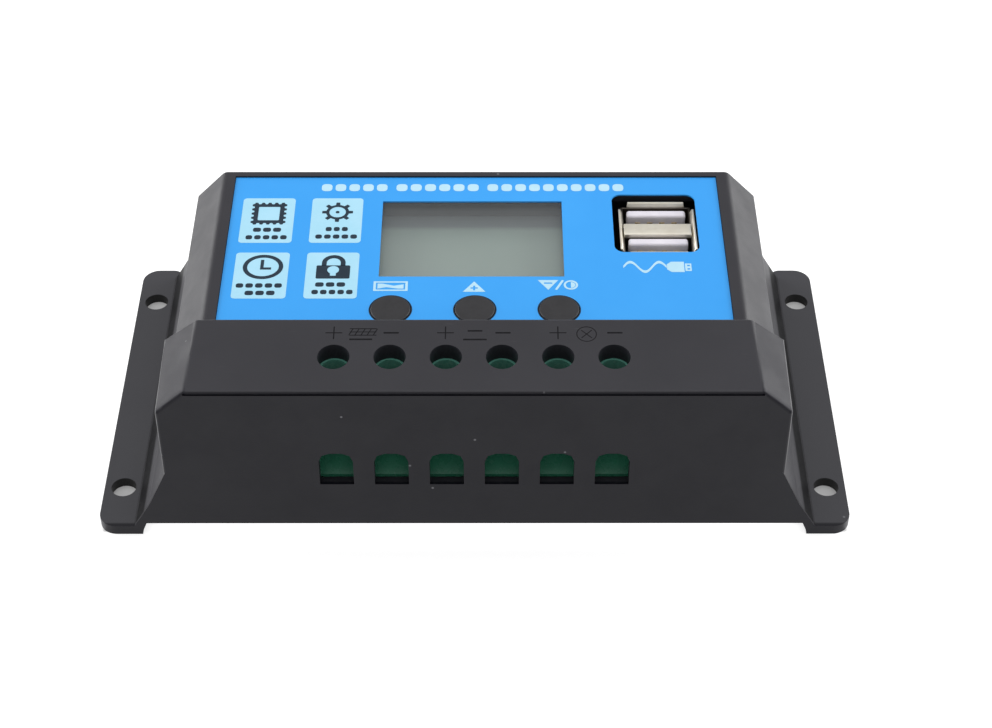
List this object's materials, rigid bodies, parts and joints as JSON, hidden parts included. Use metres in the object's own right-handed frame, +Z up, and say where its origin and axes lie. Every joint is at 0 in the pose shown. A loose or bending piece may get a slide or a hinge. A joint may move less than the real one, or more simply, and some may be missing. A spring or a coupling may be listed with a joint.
{
  "type": "solar charge controller",
  "caption": "Flanged box-shaped charge controller with a stepped terminal hood, display window, push buttons, double charging socket and rising-clamp wire terminals.",
  "frame": {"origin": "middle of the footprint, on the mounting plane under the flanges", "axes": "+Z up and away from the wall, +X along the length, the terminals face -Y"},
  "size_m": [0.1334, 0.07, 0.0357],
  "materials": {
    "housing_plastic": "fine moulded grain, black",
    "label_film": "printed polycarbonate film, blue",
    "clear_pane": "clear moulded pane",
    "display_glass": "grey-green liquid-crystal cell",
    "frame_plastic": "white light guide and frame",
    "cap_plastic": "black caps",
    "switch_plastic": "black nylon",
    "green_plastic": "green polyamide",
    "plated_steel": "zinc-plated steel",
    "socket_steel": "tinned sheet steel",
    "white_plastic": "white insulator",
    "contact_metal": "plated contacts",
    "board_laminate": "green solder mask",
    "black_package": "moulded packages",
    "can_aluminium": "capacitor cans"
  },
  "bodies": {
    "controller": {"base_plate": "housing_plastic", "blocking_diode": "black_package", "board_screws": "plated_steel", "buck_regulator": "black_package", "capacitor_1": "can_aluminium", "capacitor_2": "can_aluminium", "capacitor_3": "can_aluminium", "case_screws": "plated_steel", "chip_resistors": "black_package", "crystal": "socket_steel", "display_driver": "black_package", "display_window": "clear_pane", "front_label": "label_film", "inductor": "black_package", "lcd_frame": "frame_plastic", "lcd_glass": "display_glass", "lcd_pins": "contact_metal", "main_board": "board_laminate", "microcontroller": "black_package", "power_mosfet_1": "black_package", "power_mosfet_2": "black_package", "power_mosfet_3": "black_package", "power_mosfet_4": "black_package", "switch_base_1": "switch_plastic", "switch_base_2": "switch_plastic", "switch_base_3": "switch_plastic", "terminal_block": "green_plastic", "terminal_contacts": "plated_steel", "thermistor": "black_package", "top_housing": "housing_plastic", "usb_contacts": "contact_metal", "usb_insulator": "white_plastic", "usb_shell": "socket_steel"},
    "button_1": {"button_cap_1": "cap_plastic", "switch_plunger_1": "switch_plastic"},
    "button_2": {"button_cap_2": "cap_plastic", "switch_plunger_2": "switch_plastic"},
    "button_3": {"button_cap_3": "cap_plastic", "switch_plunger_3": "switch_plastic"},
    "screw_1": {"terminal_screw_1": "plated_steel"},
    "clamp_1": {"wire_clamp_1": "plated_steel"},
    "screw_2": {"terminal_screw_2": "plated_steel"},
    "clamp_2": {"wire_clamp_2": "plated_steel"},
    "screw_3": {"terminal_screw_3": "plated_steel"},
    "clamp_3": {"wire_clamp_3": "plated_steel"},
    "screw_4": {"terminal_screw_4": "plated_steel"},
    "clamp_4": {"wire_clamp_4": "plated_steel"},
    "screw_5": {"terminal_screw_5": "plated_steel"},
    "clamp_5": {"wire_clamp_5": "plated_steel"},
    "screw_6": {"terminal_screw_6": "plated_steel"},
    "clamp_6": {"wire_clamp_6": "plated_steel"}
  },
  "joints": [
    {"name": "press_1", "type": "slide", "parent": "controller", "child": "button_1", "axis": [0, 0, -1], "range_m": [0, 0.0003], "stiffness_N_per_m": 800, "springref_m": -0.001},
    {"name": "press_2", "type": "slide", "parent": "controller", "child": "button_2", "axis": [0, 0, -1], "range_m": [0, 0.0003], "stiffness_N_per_m": 800, "springref_m": -0.001},
    {"name": "press_3", "type": "slide", "parent": "controller", "child": "button_3", "axis": [0, 0, -1], "range_m": [0, 0.0003], "stiffness_N_per_m": 800, "springref_m": -0.001},
    {"name": "turn_1", "type": "hinge", "parent": "controller", "child": "screw_1", "pos_m": [-0.02382, -0.0265, 0.0268], "axis": [0, 0, -1], "range_deg": [0, 2520]},
    {"name": "rise_1", "type": "slide", "parent": "controller", "child": "clamp_1", "axis": [0, 0, 1], "range_m": [0, 0.0042]},
    {"name": "turn_2", "type": "hinge", "parent": "controller", "child": "screw_2", "pos_m": [-0.0143, -0.0265, 0.0268], "axis": [0, 0, -1], "range_deg": [0, 2520]},
    {"name": "rise_2", "type": "slide", "parent": "controller", "child": "clamp_2", "axis": [0, 0, 1], "range_m": [0, 0.0042]},
    {"name": "turn_3", "type": "hinge", "parent": "controller", "child": "screw_3", "pos_m": [-0.00477, -0.0265, 0.0268], "axis": [0, 0, -1], "range_deg": [0, 2520]},
    {"name": "rise_3", "type": "slide", "parent": "controller", "child": "clamp_3", "axis": [0, 0, 1], "range_m": [0, 0.0042]},
    {"name": "turn_4", "type": "hinge", "parent": "controller", "child": "screw_4", "pos_m": [0.00477, -0.0265, 0.0268], "axis": [0, 0, -1], "range_deg": [0, 2520]},
    {"name": "rise_4", "type": "slide", "parent": "controller", "child": "clamp_4", "axis": [0, 0, 1], "range_m": [0, 0.0042]},
    {"name": "turn_5", "type": "hinge", "parent": "controller", "child": "screw_5", "pos_m": [0.0143, -0.0265, 0.0268], "axis": [0, 0, -1], "range_deg": [0, 2520]},
    {"name": "rise_5", "type": "slide", "parent": "controller", "child": "clamp_5", "axis": [0, 0, 1], "range_m": [0, 0.0042]},
    {"name": "turn_6", "type": "hinge", "parent": "controller", "child": "screw_6", "pos_m": [0.02382, -0.0265, 0.0268], "axis": [0, 0, -1], "range_deg": [0, 2520]},
    {"name": "rise_6", "type": "slide", "parent": "controller", "child": "clamp_6", "axis": [0, 0, 1], "range_m": [0, 0.0042]}
  ],
  "couplings": [
    {"joint": "turn_1", "follows": "rise_1", "rad_per_m": 10472},
    {"joint": "turn_2", "follows": "rise_2", "rad_per_m": 10472},
    {"joint": "turn_3", "follows": "rise_3", "rad_per_m": 10472},
    {"joint": "turn_4", "follows": "rise_4", "rad_per_m": 10472},
    {"joint": "turn_5", "follows": "rise_5", "rad_per_m": 10472},
    {"joint": "turn_6", "follows": "rise_6", "rad_per_m": 10472}
  ]
}
